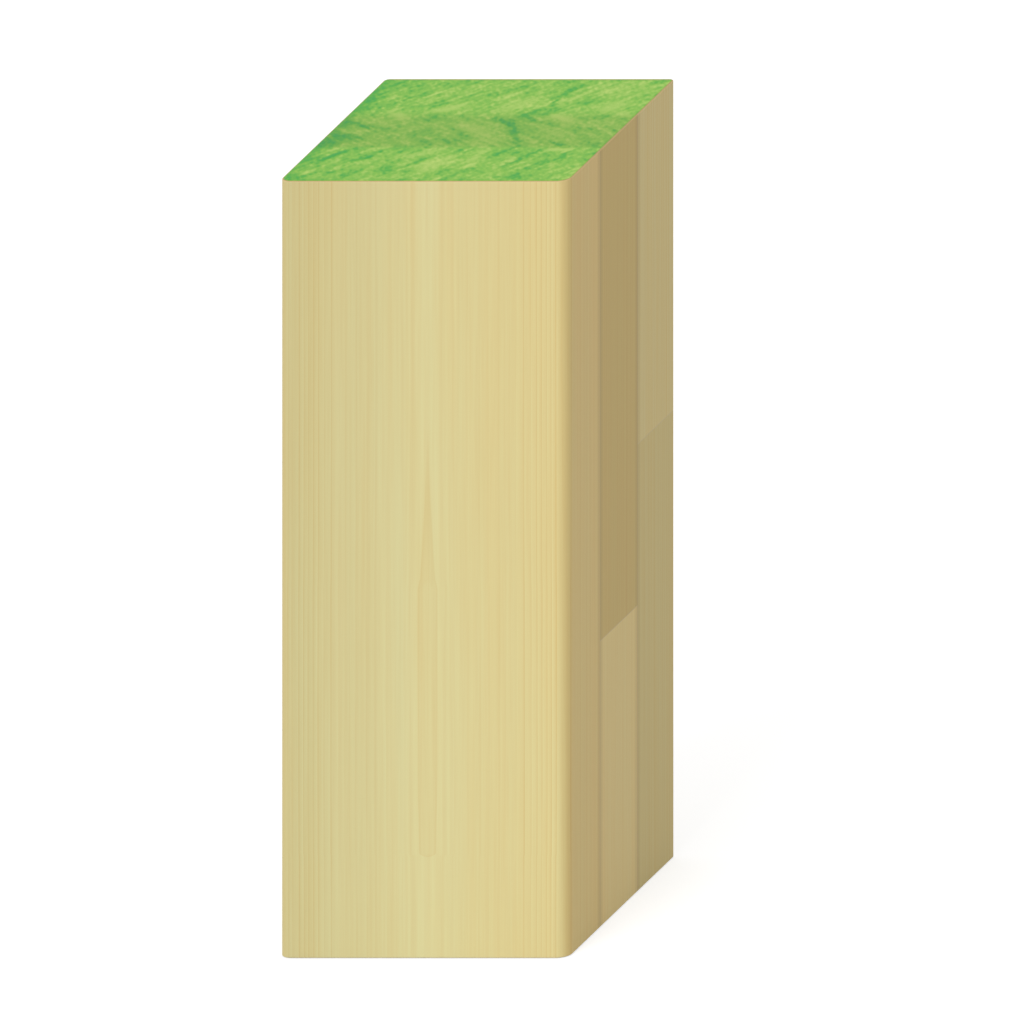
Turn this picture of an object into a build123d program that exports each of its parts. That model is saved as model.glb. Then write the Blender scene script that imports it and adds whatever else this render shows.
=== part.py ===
"""A short glued laminated timber post, planed square, with its end grain sealed in green.

Three boards stand side by side from front to rear and are glued wide face to wide face. The
middle board and the rear board are each two lengths, finger jointed end to end. The whole
stack is planed after gluing, so the rounded long edges and the eased ends are cut through
boards and glue alike. The front edges are rounded more than the rear ones. A thin coat
closes the end grain at the top and at the foot.

Millimetres. +Z runs up the grain, -Y is the front face and +X the right side. The origin is
the centre of the foot, on the surface that the post stands on.
"""

from build123d import *
import os

# The planed post
post_width = 115.0
post_depth = 115.0
wood_length = 308.3
front_edge_radius = 5.0
rear_edge_radius = 2.2
end_arris = 0.3

# The boards, counted from the front, and the adhesive between their wide faces
front_thickness = 34.4
middle_thickness = 40.0
glue_thickness = 0.3
rear_thickness = post_depth - front_thickness - middle_thickness - 2 * glue_thickness

# The finger joints: where each one meets the sides, above the sawn foot
middle_joint_height = 113.4
rear_joint_height = 177.3
finger_length = 15.0
finger_count = 30
finger_tip_width = 0.42
finger_tip_gap = 0.25
finger_flank_film = 0.1
finger_pitch = post_width / finger_count

# The coat on the end grain, which stops short of the eased edge
seal_thickness = 0.3
seal_inset = end_arris

# Planes that the boards share
foot_of_wood = seal_thickness
head_of_wood = foot_of_wood + wood_length
front_face = -post_depth / 2
front_glue_face = front_face + front_thickness
middle_front_face = front_glue_face + glue_thickness
middle_rear_face = middle_front_face + middle_thickness
rear_board_face = middle_rear_face + glue_thickness


def section(inset):
    """The post's section, smaller by the inset all round, with its corners rounded to match."""
    square = Rectangle(post_width - 2 * inset, post_depth - 2 * inset)
    front_corners = square.vertices().sort_by(Axis.Y)[:2]
    rounded = fillet(front_corners, front_edge_radius - inset)
    rear_corners = rounded.vertices().sort_by(Axis.Y)[-2:]
    return fillet(rear_corners, rear_edge_radius - inset)


def planed_stack():
    """The outside of the whole post: a square with rounded long edges and eased ends."""
    stack = Pos(Z=foot_of_wood) * extrude(section(0.0), wood_length)
    ends = stack.faces().sort_by(Axis.Z)
    return fillet(ends[0].edges() + ends[-1].edges(), end_arris)


def layer(stack, near_face, thickness):
    """What the planed stack holds between two upright planes, as one full length layer."""
    slab = Box(
        2 * post_width,
        thickness,
        2 * wood_length,
        align=(Align.CENTER, Align.MIN, Align.CENTER),
    )
    return stack & Pos(Y=near_face, Z=foot_of_wood + wood_length / 2) * slab


def finger_line(root_height, flank_shift):
    """The fingers seen from the front, as (x, z) points from the left side to the right.

    Each finger rises from a root as wide as its own tip, and half a root is left at either
    side, so the joint meets both sides of the board at the height of the roots. A flank shift
    makes each finger that much fatter on either flank, or slimmer where it is negative.
    """
    half_tip = finger_tip_width / 2 + flank_shift
    half_foot = (finger_pitch - finger_tip_width) / 2 + flank_shift
    tip_height = root_height + finger_length
    points = [(-post_width / 2, root_height)]
    for finger in range(finger_count):
        centre = (finger + 0.5) * finger_pitch - post_width / 2
        points += [
            (centre - half_foot, root_height),
            (centre - half_tip, tip_height),
            (centre + half_tip, tip_height),
            (centre + half_foot, root_height),
        ]
    return points + [(post_width / 2, root_height)]


def through_layer(outline, near_face, thickness):
    """A closed outline of (x, z) points, run from front to rear through one layer."""
    sketch = make_face(Plane.XZ * Polyline(outline, close=True))
    return extrude(Pos(Y=near_face) * sketch, thickness, dir=(0, 1, 0))


def finger_jointed_board(board, near_face, thickness, joint_height):
    """A layer cut into a lower length, an upper length and the adhesive between their fingers.

    Both lengths have the same fingers, each slimmer than the space that it enters by the film
    on its flanks, and shorter by the gap that is left at its tip.
    """
    root_height = foot_of_wood + joint_height
    lower_line = finger_line(root_height, -finger_flank_film / 2)
    upper_line = finger_line(root_height + finger_tip_gap, finger_flank_film / 2)
    half_width = post_width / 2
    below = lower_line + [(half_width, foot_of_wood), (-half_width, foot_of_wood)]
    above = upper_line + [(half_width, head_of_wood), (-half_width, head_of_wood)]
    between = lower_line + upper_line[::-1]
    return [board & through_layer(o, near_face, thickness) for o in (below, above, between)]


def end_coat(lower_face):
    """The sealer on one end: a thin plate as large as the flat that the eased edge leaves."""
    return Pos(Z=lower_face) * extrude(section(seal_inset), seal_thickness)


def post_parts():
    """Every piece of the post, by name."""
    stack = planed_stack()
    middle = layer(stack, middle_front_face, middle_thickness)
    rear = layer(stack, rear_board_face, rear_thickness)
    middle_lower, middle_upper, middle_fingers = finger_jointed_board(
        middle, middle_front_face, middle_thickness, middle_joint_height
    )
    rear_lower, rear_upper, rear_fingers = finger_jointed_board(
        rear, rear_board_face, rear_thickness, rear_joint_height
    )
    return {
        "front_lamella": layer(stack, front_face, front_thickness),
        "front_glue_line": layer(stack, front_glue_face, glue_thickness),
        "middle_lamella_lower": middle_lower,
        "middle_lamella_upper": middle_upper,
        "middle_finger_glue": middle_fingers,
        "rear_glue_line": layer(stack, middle_rear_face, glue_thickness),
        "rear_lamella_lower": rear_lower,
        "rear_lamella_upper": rear_upper,
        "rear_finger_glue": rear_fingers,
        "top_end_seal": end_coat(head_of_wood),
        "bottom_end_seal": end_coat(0.0),
    }


os.makedirs("parts", exist_ok=True)
for name, part in post_parts().items():
    export_step(part, f"parts/{name}.step")
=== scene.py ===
"""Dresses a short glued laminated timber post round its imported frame.

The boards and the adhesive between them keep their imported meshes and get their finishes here:
flat sawn softwood with its growth rings, fibres and planer marks, and the resin lines. The coat
on each end is a new brushed surface. A length is in millimetres where nothing else is said, and
the meshes are in metres.
"""

import logging
import math
from dataclasses import dataclass
from enum import Enum

import bpy
import numpy as np
from bpy.types import Material, Node, NodeSocket, NodeTree, Object
from mathutils import Matrix, Vector


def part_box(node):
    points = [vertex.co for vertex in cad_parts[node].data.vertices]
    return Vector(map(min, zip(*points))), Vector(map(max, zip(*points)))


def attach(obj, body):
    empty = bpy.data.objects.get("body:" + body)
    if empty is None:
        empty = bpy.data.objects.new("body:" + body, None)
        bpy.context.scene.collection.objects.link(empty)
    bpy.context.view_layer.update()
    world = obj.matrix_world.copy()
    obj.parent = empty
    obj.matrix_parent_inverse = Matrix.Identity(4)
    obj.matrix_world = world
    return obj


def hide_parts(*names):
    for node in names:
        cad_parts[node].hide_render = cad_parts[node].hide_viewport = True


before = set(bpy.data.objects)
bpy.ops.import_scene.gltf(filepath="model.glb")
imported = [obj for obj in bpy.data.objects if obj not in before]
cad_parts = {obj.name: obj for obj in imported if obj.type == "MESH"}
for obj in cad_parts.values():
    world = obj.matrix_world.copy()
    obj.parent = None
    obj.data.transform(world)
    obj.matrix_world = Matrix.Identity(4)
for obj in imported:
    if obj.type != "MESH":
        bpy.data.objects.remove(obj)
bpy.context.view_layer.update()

MILLIMETRE = 0.001
BODY = "root"
WHITE = "#FFFFFF"
NOISE_MEAN = 0.5

# Half the post's width
HALF_POST = 57.5

# A Mix node's sockets: its two numbers, its two colours and, among its outputs, the mixed colour
NUMBER_A, NUMBER_B = 2, 3
COLOUR_A, COLOUR_B = 6, 7
MIXED = 2

# What can feed a socket, and the stops of a colour ramp
Feed = Node | NodeSocket | tuple[float, ...] | float
Stops = tuple[tuple[float, float | str], ...]

log = logging.getLogger("post")


def linear(colour: str) -> tuple[float, float, float, float]:
    """Turns an sRGB hex colour into linear red, green, blue and alpha.

    Args:
        colour: six hex digits after a hash sign.

    Returns:
        The linear colour: c / 12.92 below 0.04045, and ((c + 0.055) / 1.055) ** 2.4 above it.
    """
    channels = [int(colour[i : i + 2], 16) / 255 for i in (1, 3, 5)]
    red, green, blue = (
        c / 12.92 if c <= 0.04045 else ((c + 0.055) / 1.055) ** 2.4 for c in channels
    )
    return red, green, blue, 1.0


def add(
    tree: NodeTree,
    kind: str,
    inputs: dict[str | int, Feed] | None = None,
    stops: Stops = (),
    **settings: str,
) -> Node:
    """Adds one node to a shader tree, with its settings and what feeds its sockets.

    Args:
        tree: the node tree that the node goes into.
        kind: the node's type name, after ShaderNode.
        inputs: a socket's name or number, and its value or the node or socket that feeds it.
        stops: for a colour ramp, each stop's position and its grey level or hex colour, from
            the first to the last.
        settings: the node's own properties.

    Returns:
        The new node.
    """
    node = tree.nodes.new(f"ShaderNode{kind}")
    for name, value in settings.items():
        setattr(node, name, value)
    for socket, value in (inputs or {}).items():
        if isinstance(value, Node):
            value = value.outputs[0]
        if isinstance(value, NodeSocket):
            tree.links.new(value, node.inputs[socket])
        else:
            node.inputs[socket].default_value = value
    # A new ramp has two stops, which become the first and the last one
    for number, (position, shade) in enumerate(stops[:1] + stops[-1:] + stops[1:-1]):
        elements = node.color_ramp.elements
        stop = elements[number] if number < 2 else elements.new(position)
        stop.position = position
        stop.color = linear(shade) if isinstance(shade, str) else (shade, shade, shade, 1.0)
    return node


def new_material(name: str) -> tuple[Material, NodeTree]:
    """Makes an empty node material.

    Args:
        name: the material's name.

    Returns:
        The material and its node tree.
    """
    material = bpy.data.materials.new(name)
    material.use_nodes = True
    material.node_tree.nodes.clear()
    return material, material.node_tree


def object_millimetres(tree: NodeTree) -> Node:
    """Adds the point being shaded, in the post's own frame.

    Args:
        tree: the node tree.

    Returns:
        The node whose first output is the point, in millimetres.
    """
    place = add(tree, "TexCoord").outputs["Object"]
    return add(tree, "VectorMath", {0: place, 1: (1 / MILLIMETRE,) * 3}, operation="MULTIPLY")


def stretched_noise(
    tree: NodeTree, point: Node, grain: tuple[float, float, float], detail: float, seed: float
) -> Node:
    """Adds noise whose features have a given size along each axis.

    Args:
        tree: the node tree.
        point: the point in millimetres.
        grain: the size of one feature along X, Y and Z.
        detail: how many finer octaves are added.
        seed: where in the noise's fourth dimension this one is cut.

    Returns:
        The noise node, whose first output is its value.
    """
    scaled = add(tree, "VectorMath", {0: point, 1: grain}, operation="DIVIDE")
    inputs = {"Vector": scaled, "W": seed, "Scale": 1.0, "Detail": detail}
    return add(tree, "TexNoise", inputs, noise_dimensions="4D")


def dress(piece: Object, material: Material) -> None:
    """Gives a piece one material, in place of any that it has."""
    piece.data.materials.clear()
    piece.data.materials.append(material)


def grid_squares(index: np.ndarray) -> np.ndarray:
    """Lists the squares between the vertices of a grid.

    Args:
        index: the vertices' numbers, in rows that run along +X and follow one another along +Y.

    Returns:
        One row for each square: its four vertices, anticlockwise seen from above.
    """
    corners = [index[:-1, :-1], index[:-1, 1:], index[1:, 1:], index[1:, :-1]]
    return np.stack(corners, axis=-1).reshape(-1, len(corners))


def new_piece(name: str, points: np.ndarray, faces: list[list[int]], smooth: bool) -> Object:
    """Makes a mesh object whose place is in its vertices.

    Args:
        name: the object's name.
        points: one row of x, y and z for each vertex, in metres.
        faces: each face's vertex numbers, anticlockwise from outside.
        smooth: whether the faces are shaded as one curved surface.

    Returns:
        The object, linked into the scene.
    """
    mesh = bpy.data.meshes.new(name)
    mesh.from_pydata(points, [], faces)
    mesh.polygons.foreach_set("use_smooth", np.full(len(mesh.polygons), smooth))
    mesh.update()
    piece = bpy.data.objects.new(name, mesh)
    bpy.context.scene.collection.objects.link(piece)
    return piece


@dataclass(frozen=True)
class Growth:
    """How the tree grew through one board, which gives the board its ring pattern.

    Attributes:
        pith: x and y of the pith at mid height of the post.
        lean: how far the pith leans along X and Y from straight up, in degrees.
        ring_width: the mean growth of one year.
        seed: tells one board's noise from another's.
    """

    pith: tuple[float, float]
    lean: tuple[float, float]
    ring_width: float
    seed: float


@dataclass(frozen=True)
class Tongue:
    """The closed tongue of an inner ring that a flat sawn face cuts open.

    The ring's surface swells by a little between two heights, so the plane of the face cuts it
    there and nowhere else. Where the cut is w wide on either side of its middle, the swelling
    is w squared over twice the ring's radius.

    Attributes:
        radius: the distance from the pith to the face.
        half_width: how far the cut reaches from its middle where it is widest.
        foot, tip: the heights of its two ends.
        outline: its half width along the way, as shares of the height and of the widest.
    """

    radius: float
    half_width: float
    foot: float
    tip: float
    outline: Stops


@dataclass(frozen=True)
class PlanedSoftwood:
    """Flat sawn spruce, planed and left bare: pale earlywood, warmer latewood, a dull sheen.

    The eye gets straight, close lines near the edges of a wide face, wider and softer ones in
    its middle, fine fibres along the grain and slow drifts from straw to honey.

    Attributes:
        name: the material's name.
        earlywood: the colour of the spring growth.
        latewood: the colour of the dense summer growth.
        growth: the board's place in the tree.
        contrast: how strongly the rings show.
        glued_faces: the y of each face that was glued.
        tint_and_painted_shade: tints across the board, as positions from its left side to its
            right and colours. On the front they are partly the wood's own tone and partly painted
            shade.
        head_tint: the tint at the head of the post, which fades out towards the foot.
        tongue: the closed ring on the wide face, where it has one.
    """

    name: str
    earlywood: str
    latewood: str
    growth: Growth
    contrast: float
    glued_faces: tuple[float, ...]
    # Tints across the board; on the front they are partly the wood's own tone and partly painted
    # shade
    tint_and_painted_shade: Stops = ((0.0, WHITE), (1.0, WHITE))
    head_tint: str = WHITE
    tongue: Tongue | None = None

    # Sawn end grain, and where it shows: from one upward share of the normal to another
    END_GRAIN = "#C9A97C"
    END_GRAIN_FACING = (0.3, 0.8)
    END_GRAIN_SHARE = 0.8

    # Wood that took up adhesive: its colour, its share, and the depths where it is full and ends
    SOAKED = "#A28B54"
    SOAKED_SHARE = 0.27
    SOAKED_DEPTH = (1.5, 3.3)

    # The streaks, the fibres and last the mottle, which also dims the colour: one feature's size
    # along X, Y and Z, its share of the density, and what it adds to the board's seed. A fibre is
    # drawn coarser than a real one, which is too fine to show.
    NOISES = (
        ((1.3, 1.3, 75.0), 0.42, 2.0),
        ((0.45, 0.45, 28.0), 0.26, 1.0),
        ((8.0, 8.0, 240.0), 0.75, 3.0),
    )
    NOISE_DETAIL = 2.0

    # The wandering pith: the size of its bends along X, Y and Z, the noise's octaves, and how far
    # they move it. A leaning pith turns about the mid height.
    WANDER = (40.0, 40.0, 210.0)
    WANDER_DETAIL = 1.0
    SWAY = (0.5, 0.0, 0.0)
    MID_HEIGHT = 155.0

    # Wide and narrow years: how fast the noise runs over the years, and how many years it shifts
    WEATHER_PACE, WEATHER_YEARS = 0.21, 2.6

    # How dark the wood is through one inner year and one outer year
    INNER_YEAR = (
        (0.0, 0.5), (0.025, 0.0), (0.14, 0.03), (0.24, 0.4), (0.34, 0.8), (0.44, 0.45),
        (0.51, 0.0), (0.58, 0.0), (0.66, 0.42), (0.82, 0.44), (0.85, 0.42), (0.868, 0.34),
        (0.885, 0.45), (0.91, 0.66), (0.94, 0.68), (0.965, 0.8), (0.978, 0.92), (0.988, 1.0),
        (0.995, 1.0), (1.0, 0.5),
    )
    OUTER_YEAR = (
        (0.0, 0.3), (0.03, 0.0), (0.14, 0.2), (0.4, 0.33), (0.75, 0.5), (0.9, 1.0),
        (0.985, 0.95), (1.0, 0.3),
    )
    MEAN_SEASON = 0.43
    MEAN_LATEWOOD = 0.36

    # How clear the rings are away from the pith, by the share of a reach, and the shares between
    # which the inner years turn into the outer ones
    REACH = 60.0
    CLEARNESS = (
        (0.0, 0.38), (0.13, 0.34), (0.2, 0.15), (0.59, 0.15), (0.67, 0.8), (0.83, 0.8),
        (0.88, 0.28), (0.915, 0.5), (0.928, 0.8), (1.0, 0.8),
    )
    INNER_TO_OUTER = (0.16, 0.3)
    WEAKEST_YEAR = 0.2

    # The height at which the tint of the head is full
    HEAD_HEIGHT = 300.0

    # The least brightness that the mottle leaves, and what it adds
    BRIGHTNESS = (0.95, 0.1)

    # Roughness of earlywood and latewood, and the planed relief: the distance between two cuts of
    # the knives, its depth, the cuts' share of it and the bump's strength
    ROUGHNESS = (0.62, 0.5)
    SPECULAR = 0.35
    PLANER_PITCH, RELIEF_DEPTH = 1.6, 0.04
    KNIFE_SHARE, RELIEF_STRENGTH = 0.03, 0.2

    def _years(self, tree: NodeTree, point: Node) -> Node:
        """Adds the number of years of growth at a point.

        The years are the distance from a leaning, slightly wandering pith, less the swelling of
        the tongue, over the ring width, plus a slow wave that makes wide and narrow years.

        Args:
            tree: the material's node tree.
            point: the point.

        Returns:
            The node whose first output is the number of years.
        """
        lean_x, lean_y = (math.radians(angle) for angle in self.growth.lean)
        pith = (*self.growth.pith, self.MID_HEIGHT)
        centred = add(tree, "VectorMath", {0: point, 1: pith}, operation="SUBTRACT")
        upright = add(tree, "Mapping", {"Vector": centred, "Rotation": (-lean_y, lean_x, 0.0)})
        seed = self.growth.seed
        wander = stretched_noise(tree, point, self.WANDER, self.WANDER_DETAIL, seed)
        inputs = {0: wander.outputs["Color"], 1: (NOISE_MEAN,) * 3}
        sway = add(tree, "VectorMath", inputs, operation="SUBTRACT")
        inputs = {0: sway, 1: self.SWAY, 2: upright}
        moved = add(tree, "VectorMath", inputs, operation="MULTIPLY_ADD")
        flat = add(tree, "VectorMath", {0: moved, 1: (1.0, 1.0, 0.0)}, operation="MULTIPLY")
        length = add(tree, "VectorMath", {0: flat}, operation="LENGTH")
        distance = length.outputs["Value"]
        if self.tongue is not None:
            distance = self._swollen(tree, point, distance, self.tongue)
        inputs = {0: distance, 1: self.growth.ring_width}
        mean_years = add(tree, "Math", inputs, operation="DIVIDE")
        slow_years = add(tree, "Math", {0: mean_years, 1: self.WEATHER_PACE}, operation="MULTIPLY")
        inputs = {"W": slow_years, "Scale": 1.0, "Detail": 1.0}
        weather = add(tree, "TexNoise", inputs, noise_dimensions="1D")
        wave = add(tree, "Math", {0: weather, 1: NOISE_MEAN}, operation="SUBTRACT")
        inputs = {0: wave, 1: self.WEATHER_YEARS, 2: mean_years}
        return add(tree, "Math", inputs, operation="MULTIPLY_ADD")

    @staticmethod
    def _swollen(tree: NodeTree, point: Node, distance: NodeSocket, tongue: Tongue) -> Node:
        """Adds the distance from the pith less the radius and the swelling of the tongue.

        Args:
            tree: the material's node tree.
            point: the point.
            distance: its distance from the pith.
            tongue: the closed ring.

        Returns:
            The node whose first output is what is left of the distance.
        """
        height = add(tree, "SeparateXYZ", {0: point}).outputs["Z"]
        inputs = {"Value": height, "From Min": tongue.foot, "From Max": tongue.tip}
        place = add(tree, "MapRange", inputs)
        share = add(tree, "ValToRGB", {0: place}, stops=tongue.outline)
        squared = add(tree, "Math", {0: share, 1: 2.0}, operation="POWER")
        swelling = tongue.half_width**2 / (2 * tongue.radius)
        base = add(tree, "Math", {0: distance, 1: tongue.radius}, operation="SUBTRACT")
        return add(tree, "Math", {0: squared, 1: -swelling, 2: base}, operation="MULTIPLY_ADD")

    def _rings(self, tree: NodeTree, point: Node) -> Node:
        """Adds how much darker or paler than the mean a point is for its place in its year.

        An outer year starts with a thin pale line, darkens slowly and ends in a dark line with a
        sharp outer side. An inner year, which the middle of a wide face cuts along its length,
        has a soft second line early on and ends in a broad rim that darkens by steps. Some years
        are stronger than others, and the lines show best where dense years come out near the
        face's edges.

        Args:
            tree: the material's node tree.
            point: the point.

        Returns:
            The node whose first output is the difference, which is 0 on average.
        """
        years = self._years(tree, point)
        season = add(tree, "Math", {0: years}, operation="FRACT")
        year = add(tree, "Math", {0: years}, operation="FLOOR")
        across = add(tree, "SeparateXYZ", {0: point}).outputs["X"]
        offset = add(tree, "Math", {0: across, 1: self.growth.pith[0]}, operation="SUBTRACT")
        away = add(tree, "Math", {0: offset}, operation="ABSOLUTE")
        share = add(tree, "Math", {0: away, 1: self.REACH}, operation="DIVIDE")
        inner = add(tree, "ValToRGB", {0: season}, stops=self.INNER_YEAR)
        outer = add(tree, "ValToRGB", {0: season}, stops=self.OUTER_YEAR)
        first, last = self.INNER_TO_OUTER
        outward = add(tree, "MapRange", {"Value": share, "From Min": first, "From Max": last})
        profile = add(tree, "Mix", {"Factor": outward, NUMBER_A: inner, NUMBER_B: outer})
        centred = add(tree, "Math", {0: profile, 1: self.MEAN_SEASON}, operation="SUBTRACT")
        shifted = add(tree, "Math", {0: year, 1: self.growth.seed}, operation="ADD")
        dice = add(tree, "TexWhiteNoise", {"W": shifted}, noise_dimensions="1D")
        weakest = self.WEAKEST_YEAR * self.contrast
        inputs = {"Value": dice.outputs["Value"], "To Min": weakest, "To Max": self.contrast}
        strength = add(tree, "MapRange", inputs)
        clearness = add(tree, "ValToRGB", {0: share}, stops=self.CLEARNESS)
        shown = add(tree, "Math", {0: strength, 1: clearness}, operation="MULTIPLY")
        return add(tree, "Math", {0: centred, 1: shown}, operation="MULTIPLY")

    def _tinted(self, tree: NodeTree, point: Node, colour: Node) -> NodeSocket:
        """Adds the board's tints across and upwards, with painted shade in the front's tints
        across, and the wood that took up adhesive.

        Args:
            tree: the material's node tree.
            point: the point.
            colour: the wood's colour so far.

        Returns:
            The socket with the tinted colour.
        """
        axes = add(tree, "SeparateXYZ", {0: point})
        inputs = {"Value": axes.outputs["X"], "From Min": -HALF_POST, "From Max": HALF_POST}
        across = add(tree, "MapRange", inputs)
        # On the front these tints are partly painted shade: darker on the left and on the right
        # side face, paler towards the right
        tint_with_painted_shade = add(tree, "ValToRGB", {0: across}, stops=self.tint_and_painted_shade)
        climb = add(tree, "MapRange", {"Value": axes.outputs["Z"], "From Max": self.HEAD_HEIGHT})
        multiplied = {"data_type": "RGBA", "blend_type": "MULTIPLY"}
        inputs = {"Factor": 1.0, COLOUR_A: colour, COLOUR_B: tint_with_painted_shade}
        tinted = add(tree, "Mix", inputs, **multiplied).outputs[MIXED]
        inputs = {"Factor": climb, COLOUR_A: tinted, COLOUR_B: linear(self.head_tint)}
        tinted = add(tree, "Mix", inputs, **multiplied).outputs[MIXED]
        full, last = self.SOAKED_DEPTH
        limits = {"From Min": full, "From Max": last, "To Min": self.SOAKED_SHARE, "To Max": 0.0}
        for face in self.glued_faces:
            gap = add(tree, "Math", {0: axes.outputs["Y"], 1: face}, operation="SUBTRACT")
            depth = add(tree, "Math", {0: gap}, operation="ABSOLUTE")
            inputs = {"Value": depth, **limits}
            soaked = add(tree, "MapRange", inputs, interpolation_type="SMOOTHSTEP")
            inputs = {"Factor": soaked, COLOUR_A: tinted, COLOUR_B: linear(self.SOAKED)}
            tinted = add(tree, "Mix", inputs, data_type="RGBA").outputs[MIXED]
        return tinted

    def material(self) -> Material:
        """Makes the material.

        Returns:
            A mix from earlywood to latewood by the rings, the streaks and the fibres, multiplied
            by a slow mottle, with sawn end grain where the surface turns to face up or down.
        """
        made, tree = new_material(self.name)
        point = object_millimetres(tree)
        density = self._rings(tree, point)
        shift = self.MEAN_LATEWOOD
        for size, share, turn in self.NOISES:
            noise = stretched_noise(tree, point, size, self.NOISE_DETAIL, self.growth.seed + turn)
            density = add(tree, "Math", {0: noise, 1: share, 2: density}, operation="MULTIPLY_ADD")
            shift -= NOISE_MEAN * share
        mottle = noise
        latewood = add(tree, "Math", {0: density, 1: shift}, operation="ADD")
        early, late = linear(self.earlywood), linear(self.latewood)
        inputs = {"Factor": latewood, COLOUR_A: early, COLOUR_B: late}
        mixed = add(tree, "Mix", inputs, data_type="RGBA").outputs[MIXED]
        least, added = self.BRIGHTNESS
        brightness = add(tree, "Math", {0: mottle, 1: added, 2: least}, operation="MULTIPLY_ADD")
        lit = add(tree, "VectorMath", {0: mixed, "Scale": brightness}, operation="SCALE")
        tinted = self._tinted(tree, point, lit)
        normal = add(tree, "NewGeometry").outputs["Normal"]
        upward = add(tree, "SeparateXYZ", {0: normal}).outputs["Z"]
        facing = add(tree, "Math", {0: upward}, operation="ABSOLUTE")
        first, last = self.END_GRAIN_FACING
        inputs = {"From Min": first, "From Max": last, "To Max": self.END_GRAIN_SHARE}
        sawn = add(tree, "MapRange", {"Value": facing, **inputs})
        inputs = {"Factor": sawn, COLOUR_A: tinted, COLOUR_B: linear(self.END_GRAIN)}
        colour = add(tree, "Mix", inputs, data_type="RGBA").outputs[MIXED]
        soft, dense = self.ROUGHNESS
        gloss = {"Value": latewood, "To Min": soft, "To Max": dense}
        inputs = {
            "Base Color": colour,
            "Roughness": add(tree, "MapRange", gloss),
            "Normal": self._relief(tree, point, latewood),
            "Specular IOR Level": self.SPECULAR,
        }
        add(tree, "OutputMaterial", {"Surface": add(tree, "BsdfPrincipled", inputs)})
        return made

    def _relief(self, tree: NodeTree, point: Node, latewood: Node) -> Node:
        """Adds the planed surface's bump.

        The height is the dense latewood, which stands a little proud, plus a sine along Z with
        one crest for each cut of the planer's knives.

        Args:
            tree: the material's node tree.
            point: the point.
            latewood: how dense the wood is.

        Returns:
            The bump node, whose output is the normal.
        """
        height = add(tree, "SeparateXYZ", {0: point}).outputs["Z"]
        inputs = {0: height, 1: 2 * math.pi / self.PLANER_PITCH}
        turn = add(tree, "Math", inputs, operation="MULTIPLY")
        knives = add(tree, "Math", {0: turn}, operation="SINE")
        inputs = {0: knives, 1: self.KNIFE_SHARE, 2: latewood}
        surface = add(tree, "Math", inputs, operation="MULTIPLY_ADD")
        depth = self.RELIEF_DEPTH * MILLIMETRE
        inputs = {"Height": surface, "Strength": self.RELIEF_STRENGTH, "Distance": depth}
        return add(tree, "Bump", inputs)


@dataclass(frozen=True)
class CuredResin:
    """Cured laminating adhesive, cut flush by the planer: a thin, hard, faintly glossy line.

    Attributes:
        name: the material's name.
        thin: the colour where little resin was left.
        thick: the colour where it pooled.
    """

    name: str
    thin: str
    thick: str

    # The size of one pool along X, Y and Z, and its noise's octaves and seed
    POOL = (9.0, 9.0, 14.0)
    POOL_DETAIL, POOL_SEED = 3.0, 4.0
    ROUGHNESS = 0.4

    def material(self) -> Material:
        """Makes the material.

        Returns:
            Two resin colours, mixed by noise whose features have the size of a pool.
        """
        made, tree = new_material(self.name)
        point = object_millimetres(tree)
        pool = stretched_noise(tree, point, self.POOL, self.POOL_DETAIL, self.POOL_SEED)
        inputs = {"Factor": pool, COLOUR_A: linear(self.thin), COLOUR_B: linear(self.thick)}
        colour = add(tree, "Mix", inputs, data_type="RGBA").outputs[MIXED]
        inputs = {"Base Color": colour, "Roughness": self.ROUGHNESS}
        add(tree, "OutputMaterial", {"Surface": add(tree, "BsdfPrincipled", inputs)})
        return made


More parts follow.
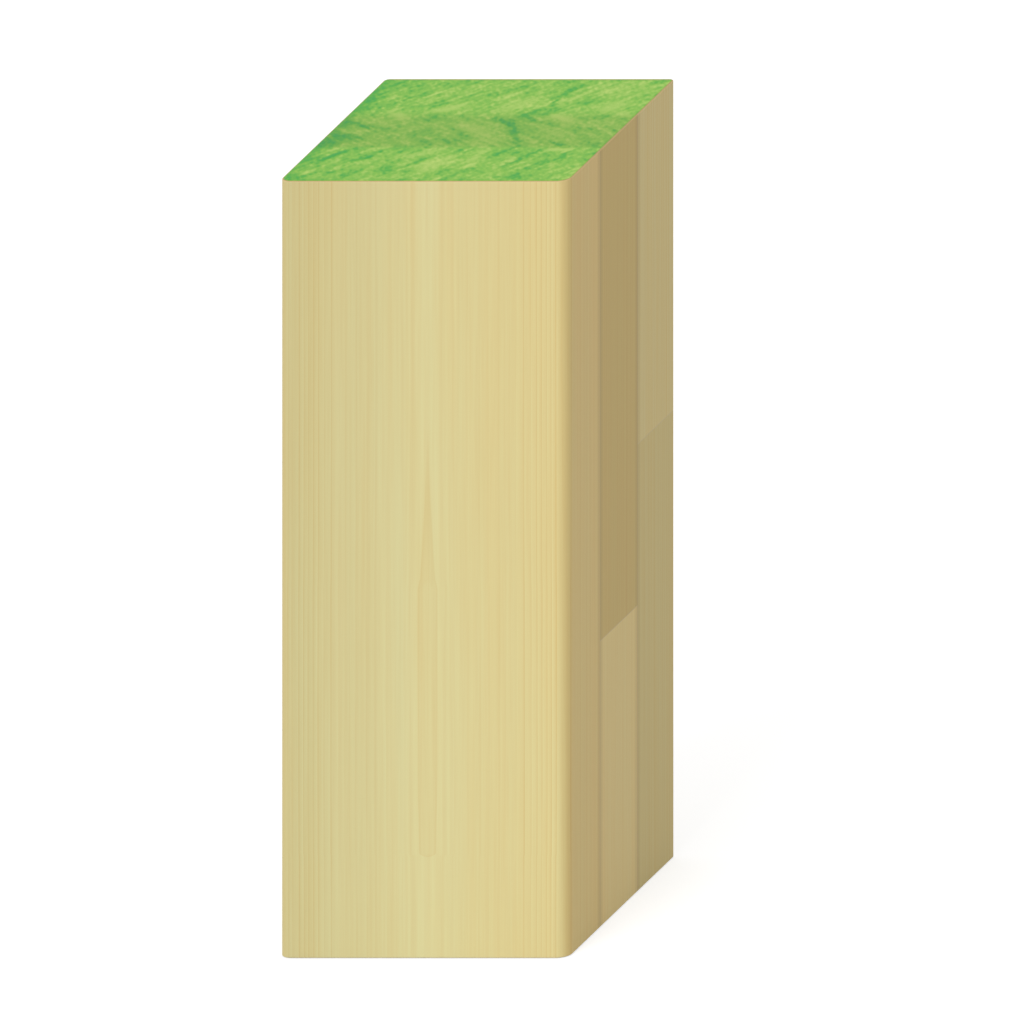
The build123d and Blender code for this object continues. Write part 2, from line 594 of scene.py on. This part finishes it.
@dataclass
class LaminatedStack:
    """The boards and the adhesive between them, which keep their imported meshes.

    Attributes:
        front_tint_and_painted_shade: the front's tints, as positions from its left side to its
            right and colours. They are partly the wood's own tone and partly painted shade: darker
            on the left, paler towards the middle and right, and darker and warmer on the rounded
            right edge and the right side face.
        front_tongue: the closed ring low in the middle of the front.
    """

    # Partly the wood's own tone and partly painted shade: darker on the left, paler towards the
    # middle and right, darker and warmer on the rounded right edge and the right side face
    front_tint_and_painted_shade: Stops = (
        (0.0, "#F2EEE4"), (0.012, "#F2EEE4"), (0.035, "#EEEFEC"), (0.11, "#EFF0EC"),
        (0.2, "#F4F6F5"), (0.31, "#F5F7F6"), (0.36, "#F8FBFB"), (0.5, "#FCFFFF"),
        (0.965, "#FFFBF3"), (1.0, "#F4E6D2"),
    )
    front_tongue: Tongue = Tongue(
        radius=67.0,
        half_width=4.1,
        foot=40.0,
        tip=212.0,
        outline=(
            (0.0, 0.0), (0.009, 0.83), (0.099, 0.88), (0.13, 0.94), (0.2, 0.96), (0.622, 0.96),
            (0.645, 0.74), (0.715, 0.57), (0.773, 0.46), (0.82, 0.366), (0.895, 0.285),
            (0.948, 0.24), (0.983, 0.2), (1.0, 0.0),
        ),
    )

    def finishes(self) -> dict[str, PlanedSoftwood | CuredResin]:
        """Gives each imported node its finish.

        Returns:
            The node's name and its finish.
        """
        front_glued = (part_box("front_lamella")[1][1] / MILLIMETRE,)
        middle_glued = tuple(corner[1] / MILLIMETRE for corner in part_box("middle_lamella_lower"))
        rear_glued = (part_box("rear_lamella_lower")[0][1] / MILLIMETRE,)
        lines = CuredResin("cured_laminating_resin", thin="#AC905C", thick="#907748")
        fingers = CuredResin("cured_finger_joint_resin", thin="#C9B482", thick="#B8A270")
        return {
            "front_lamella": PlanedSoftwood(
                "planed_spruce_front",
                earlywood="#E4DCA4",
                latewood="#D9C080",
                growth=Growth((1.8, 9.505), (0.0, 0.0), ring_width=1.15, seed=11.0),
                contrast=1.25,
                glued_faces=front_glued,
                # The front's tints, which are partly painted shade
                tint_and_painted_shade=self.front_tint_and_painted_shade,
                head_tint="#FDFAF8",
                tongue=self.front_tongue,
            ),
            "middle_lamella_lower": PlanedSoftwood(
                "planed_spruce_middle_lower",
                earlywood="#DCCA8D",
                latewood="#D2B06B",
                growth=Growth((-9.0, 46.0), (-0.1, 0.1), ring_width=1.35, seed=23.0),
                contrast=0.6,
                glued_faces=middle_glued,
            ),
            "middle_lamella_upper": PlanedSoftwood(
                "planed_spruce_middle_upper",
                earlywood="#C8B371",
                latewood="#BE9A54",
                growth=Growth((12.0, 39.0), (0.1, -0.1), ring_width=1.5, seed=37.0),
                contrast=0.72,
                glued_faces=middle_glued,
            ),
            "rear_lamella_lower": PlanedSoftwood(
                "planed_spruce_rear_lower",
                earlywood="#CDBE85",
                latewood="#C3A55B",
                growth=Growth((0.0, 12.0), (0.1, 0.1), ring_width=1.2, seed=51.0),
                contrast=0.85,
                glued_faces=rear_glued,
            ),
            "rear_lamella_upper": PlanedSoftwood(
                "planed_spruce_rear_upper",
                earlywood="#D4C58D",
                latewood="#CAAC61",
                growth=Growth((-14.0, 98.0), (-0.1, 0.1), ring_width=1.15, seed=67.0),
                contrast=1.3,
                glued_faces=rear_glued,
            ),
            "front_glue_line": lines,
            "rear_glue_line": lines,
            "middle_finger_glue": fingers,
            "rear_finger_glue": fingers,
        }

    def build(self) -> None:
        """Dresses every node of the stack."""
        for node, finish in self.finishes().items():
            dress(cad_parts[node], finish.material())
            log.info("%s finished as %s", node, finish.name)


class End(Enum):
    """Which end of the post a coat is on, and the way that its surface faces along Z."""

    TOP = 1.0
    FOOT = -1.0


class Edge(Enum):
    """An edge of the coat, as the axis that it is measured along and its side of that axis."""

    LEFT = (0, -1.0)
    FRONT = (1, -1.0)
    REAR = (1, 1.0)


@dataclass(frozen=True)
class Dab:
    """One mark where the brush left more sealer, or less where its strength is negative.

    Attributes:
        x, y: its middle.
        angle: the way it runs, in degrees from +X towards +Y.
        length, width: its size.
        strength: how much sealer it holds.
    """

    x: float
    y: float
    angle: float
    length: float
    width: float
    strength: float


@dataclass(frozen=True)
class BrushPass:
    """Even brush marks that all run one way.

    Attributes:
        angle: the way they run, in degrees from +X towards +Y.
        length, width: the spread of one mark along and across.
        share: how strongly they show.
        turn: tells their noise from the coat's others.
    """

    angle: float
    length: float
    width: float
    share: float
    turn: int


@dataclass(frozen=True)
class BrushedEndSealer:
    """Green sealing wax brushed on sawn end grain: matte, streaky, darker where it pooled.

    The eye gets fine strokes that all run one way, pale where the sawn fibres show through and
    a cold emerald where the coat is thick.

    Attributes:
        name: the material's name.
    """

    name: str

    # The pigment by the coat's thickness, from pale to pooled
    PIGMENT = ((0.0, "#B2CE66"), (0.35, "#80BA3F"), (0.65, "#50AA2B"), (1.0, "#1D9E27"))
    BARE = "#B89A66"
    DENSE_TINT = "#F2EEE9"

    # Fine hairs along the grain: their size along X, Y and Z, the noise's octaves and seed, and
    # their share of the thickness
    HAIR = (0.7, 0.7, 40.0)
    HAIR_DETAIL, HAIR_SEED, HAIR_SHARE = 2.0, 6.0, 0.2

    # Roughness of a thin and a thick coat, and the relief's strength and depth
    ROUGHNESS = (0.66, 0.5)
    SPECULAR = 0.35
    RELIEF_STRENGTH, RELIEF_DEPTH = 0.3, 0.08

    def material(self) -> Material:
        """Makes the material: a ramp from pale to pooled, read at the coat's thickness.

        Returns:
            The thickness is the mesh's sealer attribute plus fine noise. The mesh's two other
            attributes say where the wood below is dense and darkens it, and where the brush
            skipped the edge and left brown end grain.
        """
        made, tree = new_material(self.name)
        point = object_millimetres(tree)
        sealer, dense, skipped = (
            add(tree, "Attribute", attribute_name=name).outputs["Fac"]
            for name in ("sealer", "dense_wood", "skipped")
        )
        hair = stretched_noise(tree, point, self.HAIR, self.HAIR_DETAIL, self.HAIR_SEED)
        centred = add(tree, "Math", {0: hair, 1: NOISE_MEAN}, operation="SUBTRACT")
        inputs = {0: centred, 1: self.HAIR_SHARE, 2: sealer}
        thickness = add(tree, "Math", inputs, operation="MULTIPLY_ADD")
        pigment = add(tree, "ValToRGB", {0: thickness}, stops=self.PIGMENT)
        inputs = {"Factor": dense, COLOUR_A: pigment, COLOUR_B: linear(self.DENSE_TINT)}
        shaded = add(tree, "Mix", inputs, data_type="RGBA", blend_type="MULTIPLY")
        inputs = {"Factor": skipped, COLOUR_A: shaded.outputs[MIXED], COLOUR_B: linear(self.BARE)}
        colour = add(tree, "Mix", inputs, data_type="RGBA").outputs[MIXED]
        depth = self.RELIEF_DEPTH * MILLIMETRE
        relief = {"Height": thickness, "Strength": self.RELIEF_STRENGTH, "Distance": depth}
        thin, thick = self.ROUGHNESS
        gloss = {"Value": thickness, "To Min": thin, "To Max": thick}
        inputs = {
            "Base Color": colour,
            "Roughness": add(tree, "MapRange", gloss),
            "Normal": add(tree, "Bump", relief),
            "Specular IOR Level": self.SPECULAR,
        }
        add(tree, "OutputMaterial", {"Surface": add(tree, "BsdfPrincipled", inputs)})
        return made


@dataclass
class EndCoat:
    """The brushed coat on one end, which stands for the plain plate of the frame.

    Attributes:
        node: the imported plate.
        end: the end that it is on.
        seed: tells one coat's strokes from another's.
        dabs: the single marks on it.
        front_radius, rear_radius: the outline's corner radii.
        spacing: the distance between the surface's grid lines.
        rim_height: the height of the coat where it meets the bare edge.
        body_height: its height away from the edge before the strokes.
        shoulder: how far in from the edge the coat reaches its full height.
        bands: the y at which the strokes turn.
        band_blends: over what distance they turn there.
        strokes: the long strokes in front of, between and behind the two.
        cross_passes: the flecks of the last pass of the brush, and the soft patches.
        beads: the sealer that stays along an edge: the edge, how much more there is, how far in
            its crest lies and how wide it is.
    """

    node: str
    end: End
    seed: int
    dabs: tuple[Dab, ...] = ()
    front_radius: float = 4.7
    rear_radius: float = 1.9
    spacing: float = 0.5
    rim_height: float = 0.05
    body_height: float = 0.19
    shoulder: float = 0.9
    bands: tuple[float, float] = (-19.5, 16.0)
    band_blends: tuple[float, float] = (0.9, 2.2)
    strokes: tuple[BrushPass, ...] = (
        BrushPass(59.0, 3.4, 0.78, 0.66, 1),
        BrushPass(-40.0, 4.8, 0.62, 0.66, 2),
        BrushPass(59.0, 3.2, 0.76, 0.66, 3),
    )
    cross_passes: tuple[BrushPass, ...] = (
        BrushPass(-66.0, 0.85, 0.37, 0.66, 12),
        BrushPass(20.0, 4.2, 2.6, 0.42, 11),
    )
    beads: tuple[tuple[Edge, float, float, float], ...] = (
        (Edge.LEFT, 0.24, 1.0, 2.2),
        (Edge.LEFT, 0.05, 0.0, 7.0),
        (Edge.FRONT, 0.13, 0.8, 1.2),
        (Edge.REAR, 0.08, 1.4, 1.4),
    )

    # Keeps the noise of one coat's passes apart from the next coat's
    SEED_STEP = 101

    # The sealer's thickness without strokes, what the strokes add, how much less they add in the
    # middle band, and what the strongest ones add on top
    BASE = 0.35
    STROKE_GAIN, MIDDLE_LOSS = 0.112, 0.014
    PEAK_START, PEAK_GAIN = 1.0, 0.07

    # How the strokes break up a dab: its mean, what they add, and the limits. The power gives a
    # dab its blunt ends.
    DAB_MEAN, DAB_STROKES, DAB_LIMITS = 1.1, 0.45, (0.2, 2.2)
    DAB_ENDS = 4

    # How much more than the base stands for the full height, and the limits of that share
    SPREAD, SPREAD_LIMITS = 1.1, (-0.5, 1.0)

    # The bare rim: its strength at the edge, and how far in it fades, at the sides and at the rear
    SKIPPED, SKIPPED_SIDES, SKIPPED_REAR = 1.2, 0.4, 1.5

    def _grid(self) -> tuple[np.ndarray, np.ndarray, np.ndarray, float]:
        """Works out the surface's grid in plan.

        A square grid covers the plate. In each corner its points are drawn in towards the
        corner's centre by the ratio of the larger offset to the true distance, which turns the
        square corner into the round one, and leaves each point as far inside the outline as it
        was inside the square.

        Returns:
            x and y of each point, how far it lies inside the outline, and half the plate's width.
        """
        low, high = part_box(self.node)
        half = (high[0] - low[0]) / 2 / MILLIMETRE
        lines = round(2 * half / self.spacing) + 1
        x, y = np.meshgrid(np.linspace(-half, half, lines), np.linspace(-half, half, lines))
        inside = half - np.maximum(np.abs(x), np.abs(y))
        centre = half - np.where(y < 0, self.front_radius, self.rear_radius)
        out_x = np.maximum(np.abs(x) - centre, 0.0)
        out_y = np.maximum(np.abs(y) - centre, 0.0)
        distance = np.hypot(out_x, out_y)
        larger = np.maximum(out_x, out_y)
        ratio = np.divide(larger, distance, out=np.ones_like(distance), where=distance > 0)
        x = np.sign(x) * (np.minimum(np.abs(x), centre) + out_x * ratio)
        y = np.sign(y) * (np.minimum(np.abs(y), centre) + out_y * ratio)
        return x, y, inside, half

    def _marks(self, shape: tuple[int, int], brush: BrushPass) -> np.ndarray:
        """Makes the marks of one pass of the brush.

        White noise is smoothed by a Gaussian that is long along the marks and narrow across
        them, through its Fourier transform, and scaled to a mean of 0 and a spread of 1.

        Args:
            shape: the grid's rows and columns.
            brush: the pass.

        Returns:
            The marks, weighted by the pass's share.
        """
        random = np.random.default_rng(self.seed * self.SEED_STEP + brush.turn)
        noise = random.standard_normal(shape)
        waves = (2 * np.pi * np.fft.fftfreq(count, self.spacing) for count in shape)
        wave_y, wave_x = np.meshgrid(*waves, indexing="ij")
        slope = math.radians(brush.angle)
        along = wave_x * math.cos(slope) + wave_y * math.sin(slope)
        across = wave_y * math.cos(slope) - wave_x * math.sin(slope)
        smooth = np.exp(-((along * brush.length) ** 2 + (across * brush.width) ** 2) / 2)
        marks = np.real(np.fft.ifft2(np.fft.fft2(noise) * smooth))
        return brush.share * (marks - marks.mean()) / marks.std()

    def _dabbed(self, x: np.ndarray, y: np.ndarray) -> np.ndarray:
        """Adds up the dabs: each is a Gaussian across its own line and blunter along it.

        Args:
            x, y: the points.

        Returns:
            How much sealer the dabs hold at each point.
        """
        total = np.zeros_like(x)
        for dab in self.dabs:
            slope = math.radians(dab.angle)
            along = (x - dab.x) * math.cos(slope) + (y - dab.y) * math.sin(slope)
            across = (y - dab.y) * math.cos(slope) - (x - dab.x) * math.sin(slope)
            ends = (along / (dab.length / 2)) ** self.DAB_ENDS
            total += dab.strength * np.exp(-ends - (across / (dab.width / 2)) ** 2)
        return total

    def _shares(self, y: np.ndarray) -> tuple[np.ndarray, np.ndarray, np.ndarray]:
        """Shares each point out among the front, the middle and the rear band, by y.

        Args:
            y: the points' y.

        Returns:
            Three shares that add up to 1. Each change is a logistic curve in y.
        """
        turn_front, turn_rear = self.bands
        blend_front, blend_rear = self.band_blends
        front = 1 / (1 + np.exp((y - turn_front) / blend_front))
        rear = 1 / (1 + np.exp((turn_rear - y) / blend_rear))
        return front, np.clip(1 - front - rear, 0.0, 1.0), rear

    def _sealer(self, x: np.ndarray, y: np.ndarray, half: float) -> np.ndarray:
        """Works out how thickly the sealer lies at each point.

        It is long strokes that lean a different way in each band, plus fine flecks across them
        from the last pass of the brush, plus soft patches, plus the dabs. Along an edge a bead
        adds to it, as a Gaussian of the distance from the edge, and most of all on the left,
        where the brush set down.

        Args:
            x, y: the points.
            half: half the plate's width.

        Returns:
            The thickness, from 0 for pale to 1 for pooled.
        """
        shares = self._shares(y)
        brushed = np.zeros_like(x)
        for share, stroke in zip(shares, self.strokes):
            brushed += share * self._marks(x.shape, stroke)
        for brush in self.cross_passes:
            brushed += self._marks(x.shape, brush)
        thickness = self.BASE + (self.STROKE_GAIN - self.MIDDLE_LOSS * shares[1]) * brushed
        thickness += self.PEAK_GAIN * np.maximum(brushed - self.PEAK_START, 0.0)
        broken = np.clip(self.DAB_MEAN + self.DAB_STROKES * brushed, *self.DAB_LIMITS)
        thickness += self._dabbed(x, y) * broken
        for edge, strength, crest, width in self.beads:
            axis, side = edge.value
            inward = half - side * (x, y)[axis]
            thickness += strength * np.exp(-(((inward - crest) / width) ** 2))
        return thickness

    def build(self) -> Object:
        """Makes the coat.

        The surface's height is a quarter circle from the rim to the shoulder, up to the body's
        height, plus a share of the sealer's thickness. A wall and a flat back close it.

        Returns:
            The coat's object.
        """
        x, y, inside, half = self._grid()
        sealer = self._sealer(x, y, half)
        low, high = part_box(self.node)
        full_height = (high[2] - low[2]) / MILLIMETRE
        reach = np.clip(1 - inside / self.shoulder, 0.0, 1.0)
        rounded = np.sqrt(1 - reach**2)
        spread = np.clip((sealer - self.BASE) / self.SPREAD, *self.SPREAD_LIMITS)
        body = self.body_height + (full_height - self.body_height) * spread
        height = self.rim_height + (body - self.rim_height) * rounded
        wood = low[2] if self.end is End.TOP else high[2]
        z = wood + self.end.value * height * MILLIMETRE
        surface = np.column_stack([x.ravel() * MILLIMETRE, y.ravel() * MILLIMETRE, z.ravel()])
        index = np.arange(x.size).reshape(x.shape)
        rim = np.concatenate([index[0, :-1], index[:-1, -1], index[-1, :0:-1], index[:0:-1, 0]])
        back = surface[rim].copy()
        back[:, 2] = wood
        back_index = np.arange(len(rim)) + len(surface)
        wall = np.stack([rim, back_index, np.roll(back_index, -1), np.roll(rim, -1)], axis=-1)
        faces = grid_squares(index).tolist() + wall.tolist() + [back_index[::-1].tolist()]
        if self.end is End.FOOT:
            faces = [face[::-1] for face in faces]
        coat = new_piece(f"{self.node}_brushed", np.vstack([surface, back]), faces, smooth=True)
        bare = np.minimum(inside / self.SKIPPED_SIDES, (half - y) / self.SKIPPED_REAR)
        skipped = np.clip(self.SKIPPED - bare, 0.0, 1.0)
        levels = {"sealer": sealer, "dense_wood": self._shares(y)[1], "skipped": skipped}
        for name, level in levels.items():
            values = np.concatenate([level.ravel(), level.ravel()[rim]]).astype(np.float32)
            coat.data.attributes.new(name, "FLOAT", "POINT").data.foreach_set("value", values)
        dress(coat, BrushedEndSealer(f"brushed_end_sealer_{self.end.name.lower()}").material())
        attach(coat, BODY)
        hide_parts(self.node)
        log.info("%s made with %d faces", coat.name, len(faces))
        return coat


@dataclass
class Studio:
    """A pale floor under an even white sky, with one soft lamp in front on the left.

    Attributes:
        floor_width: the side of the square floor, in metres.
        floor_divisions: how many squares it has along a side.
        floor_drop: how far it lies under the foot, so that they don't share a plane.
        floor_colour: its colour in the light that falls on the object.
        floor_lift: light that only the camera sees from the floor, which keeps it white.
        sky: the level of the sky's light on the object.
        lamp_power: the lamp's light on a surface that faces it, in watts per square metre.
        lamp_width: the angle that the lamp fills, in degrees. A wide one gives a soft shadow.
        lamp_from: the direction from the object to the lamp, 33 degrees above the floor.
    """

    floor_width: float = 24.0
    floor_divisions: int = 16
    floor_drop: float = 0.02
    floor_colour: str = "#BCBCBC"
    floor_lift: float = 0.63
    sky: float = 0.782
    lamp_power: float = 1.265
    lamp_width: float = 32.0
    lamp_from: tuple[float, float, float] = (-0.19, -0.833, 0.554)

    @staticmethod
    def _seen(tree: NodeTree) -> Node:
        """Adds a switch for what is seen, and not for what lights the object.

        Args:
            tree: the node tree.

        Returns:
            The node that gives 1 for a ray from the camera, or one that gloss or glass sends
            on, and 0 for others.
        """
        path = add(tree, "LightPath").outputs
        seen = path["Is Camera Ray"]
        for ray in ("Is Glossy Ray", "Is Transmission Ray"):
            seen = add(tree, "Math", {0: seen, 1: path[ray]}, operation="MAXIMUM")
        return seen

    def _floor(self) -> None:
        """Makes the floor: a flat grid, matte and pale, lifted to white where it is seen."""
        half = self.floor_width / 2
        ticks = np.linspace(-half, half, self.floor_divisions + 1)
        x, y = np.meshgrid(ticks, ticks)
        z = np.full(x.size, -self.floor_drop * MILLIMETRE)
        points = np.column_stack([x.ravel(), y.ravel(), z])
        squares = grid_squares(np.arange(x.size).reshape(x.shape))
        floor = new_piece("studio_floor", points, squares.tolist(), smooth=False)
        made, tree = new_material("matte_pale_paper")
        matte = add(tree, "BsdfDiffuse", {"Color": linear(self.floor_colour)})
        lift = add(tree, "Math", {0: self._seen(tree), 1: self.floor_lift}, operation="MULTIPLY")
        glow = add(tree, "Emission", {"Strength": lift})
        both = add(tree, "AddShader", {0: matte, 1: glow})
        add(tree, "OutputMaterial", {"Surface": both})
        dress(floor, made)

    def _sky(self) -> None:
        """Makes the world: plain white where it is seen, and dimmer where it lights the object."""
        world = bpy.data.worlds.new("white_sky")
        world.use_nodes = True
        tree = world.node_tree
        tree.nodes.clear()
        inputs = {"Value": self._seen(tree), "To Min": self.sky, "To Max": 1.0}
        level = add(tree, "MapRange", inputs)
        light = add(tree, "Background", {"Color": linear(WHITE), "Strength": level})
        add(tree, "OutputWorld", {"Surface": light})
        bpy.context.scene.world = world

    def _lamp(self) -> None:
        """Makes the lamp: parallel light with a wide penumbra."""
        light = bpy.data.lights.new("soft_lamp", "SUN")
        light.energy = self.lamp_power
        light.angle = math.radians(self.lamp_width)
        lamp = bpy.data.objects.new("soft_lamp", light)
        lamp.rotation_euler = Vector(self.lamp_from).to_track_quat("Z", "Y").to_euler()
        bpy.context.scene.collection.objects.link(lamp)

    def build(self) -> None:
        """Makes the floor, the sky and the lamp, and leaves colours as they are written."""
        self._floor()
        self._sky()
        self._lamp()
        bpy.context.scene.view_settings.view_transform = "Standard"
        log.info("studio made")


@dataclass
class ObliqueCamera:
    """A camera for an oblique drawing: the front is seen true, and the depth runs up and right.

    The picture plane stays upright and parallel to the front, while the sight lines come in
    from the right and above. A camera's own turn can't do that, so its place on the stand is
    a sheared matrix: right, up, the slanted way back along the sight lines, and its position.

    Attributes:
        frame_width: the width of the picture.
        front_at_centre: x and z of the point on the front plane at the picture's centre.
        depth_right, depth_up: how far a millimetre of depth moves a point in the picture.
        distance: how far the camera stands back along the sight lines, in metres.
    """

    frame_width: float = 406.6
    front_at_centre: tuple[float, float] = (35.3, 177.4)
    depth_right: float = 0.37
    depth_up: float = 0.3545
    distance: float = 1.5

    def build(self) -> None:
        """Makes the camera and its stand, and makes it the scene's camera."""
        lens = bpy.data.cameras.new("oblique_camera")
        lens.type = "ORTHO"
        lens.ortho_scale = self.frame_width * MILLIMETRE
        camera = bpy.data.objects.new("oblique_camera", lens)
        stand = bpy.data.objects.new("camera_stand", None)
        for item in (camera, stand):
            bpy.context.scene.collection.objects.link(item)
        front_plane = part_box("front_lamella")[0][1]
        x, z = self.front_at_centre
        aim = Vector((x * MILLIMETRE, front_plane, z * MILLIMETRE))
        back = Vector((self.depth_right, -1.0, self.depth_up)).normalized()
        columns = ((1.0, 0.0, 0.0), (0.0, 0.0, 1.0), back, aim + self.distance * back)
        rows = [[column[row] for column in columns] for row in range(3)]
        camera.parent = stand
        camera.matrix_parent_inverse = Matrix([*rows, (0.0, 0.0, 0.0, 1.0)])
        bpy.context.scene.camera = camera
        log.info("camera made")


# The marks on the top end: x, y, angle, length, width and strength of each
TOP_DABS = (
    Dab(7, 9, -38, 13, 3, 0.36),
    Dab(13.5, 2, -58, 13, 3, 0.3),
    Dab(18, -8, -68, 15, 3.4, 0.22),
    Dab(17, 12, -35, 18, 5, 0.1),
    Dab(19.5, 31.5, 72, 7, 4, 0.34),
    Dab(20.5, 40, 84, 18, 3, 0.22),
    Dab(16.5, 53, 0, 9, 6, 0.12),
    Dab(-53.5, 36.5, 60, 13, 5, 0.3),
    Dab(-41.5, 34, 50, 8, 5, 0.2),
    Dab(-35, 38, 50, 9, 5, 0.18),
    Dab(-36, 53.5, 0, 40, 7, 0.1),
    Dab(-46, 24, 40, 14, 8, 0.1),
    Dab(-48, 5, -30, 18, 4.2, 0.24),
    Dab(-53, -5, -50, 14, 5, 0.2),
    Dab(-48, -8, -20, 18, 12, 0.1),
    Dab(-54, -15.5, 0, 8, 7, 0.26),
    Dab(-27, -6, -15, 30, 14, 0.02),
    Dab(-20, 33, 60, 9, 6, -0.12),
    Dab(37.5, -16, -35, 8, 3.4, 0.24),
    Dab(-46.5, -28.5, 58, 15, 4, 0.34),
    Dab(-26.5, -23, 55, 10, 4, 0.2),
    Dab(-33, -31.5, 42, 12, 4.6, 0.26),
    Dab(3, -25, 72, 8, 4, 0.2),
    Dab(21.5, -22, 60, 9, 4, 0.24),
    Dab(17.8, -29, 70, 7, 3.6, 0.26),
    Dab(32, -26, 62, 11, 3.6, 0.3),
    Dab(27.5, -36, 58, 11, 4, 0.34),
    Dab(43, -34, 48, 14, 6, 0.2),
    Dab(-40.5, -48, 30, 5, 4.4, 0.2),
    Dab(-53, -48, 90, 12, 5, 0.1),
    Dab(-18.5, -46, 80, 7, 3.4, 0.12),
    Dab(3.5, -46.5, 60, 8, 4, 0.16),
    Dab(35, -53.5, 10, 5, 4, 0.2),
    Dab(28, -53, 10, 4, 3.4, 0.14),
    Dab(-19, 24, 50, 12, 6, -0.22),
    Dab(-37, 16.5, -42, 14, 5, -0.2),
    Dab(-29, 31, 55, 9, 5, -0.16),
    Dab(29, 13, -40, 16, 5, -0.24),
    Dab(44.5, 26, 70, 16, 9, -0.18),
    Dab(5, 27, 75, 15, 10, -0.14),
    Dab(42, 44, 0, 32, 16, -0.05),
    Dab(41, -22, 0, 13, 4, -0.24),
    Dab(10.5, -29, 78, 17, 5, -0.22),
    Dab(-16, -27, 15, 20, 8, -0.12),
    Dab(-4, -39, 70, 15, 10, -0.14),
    Dab(2, -4, -55, 30, 9, -0.14),
    Dab(32, -5, -10, 24, 16, -0.08),
    Dab(53, 17, -40, 10, 5, -0.12),
)


def main() -> None:
    """Builds the post's finishes, its end coats, the studio and the camera."""
    logging.basicConfig(level=logging.INFO)
    LaminatedStack().build()
    EndCoat("top_end_seal", End.TOP, seed=7, dabs=TOP_DABS).build()
    EndCoat("bottom_end_seal", End.FOOT, seed=8).build()
    Studio().build()
    ObliqueCamera().build()


if __name__ == "__main__":
    main()
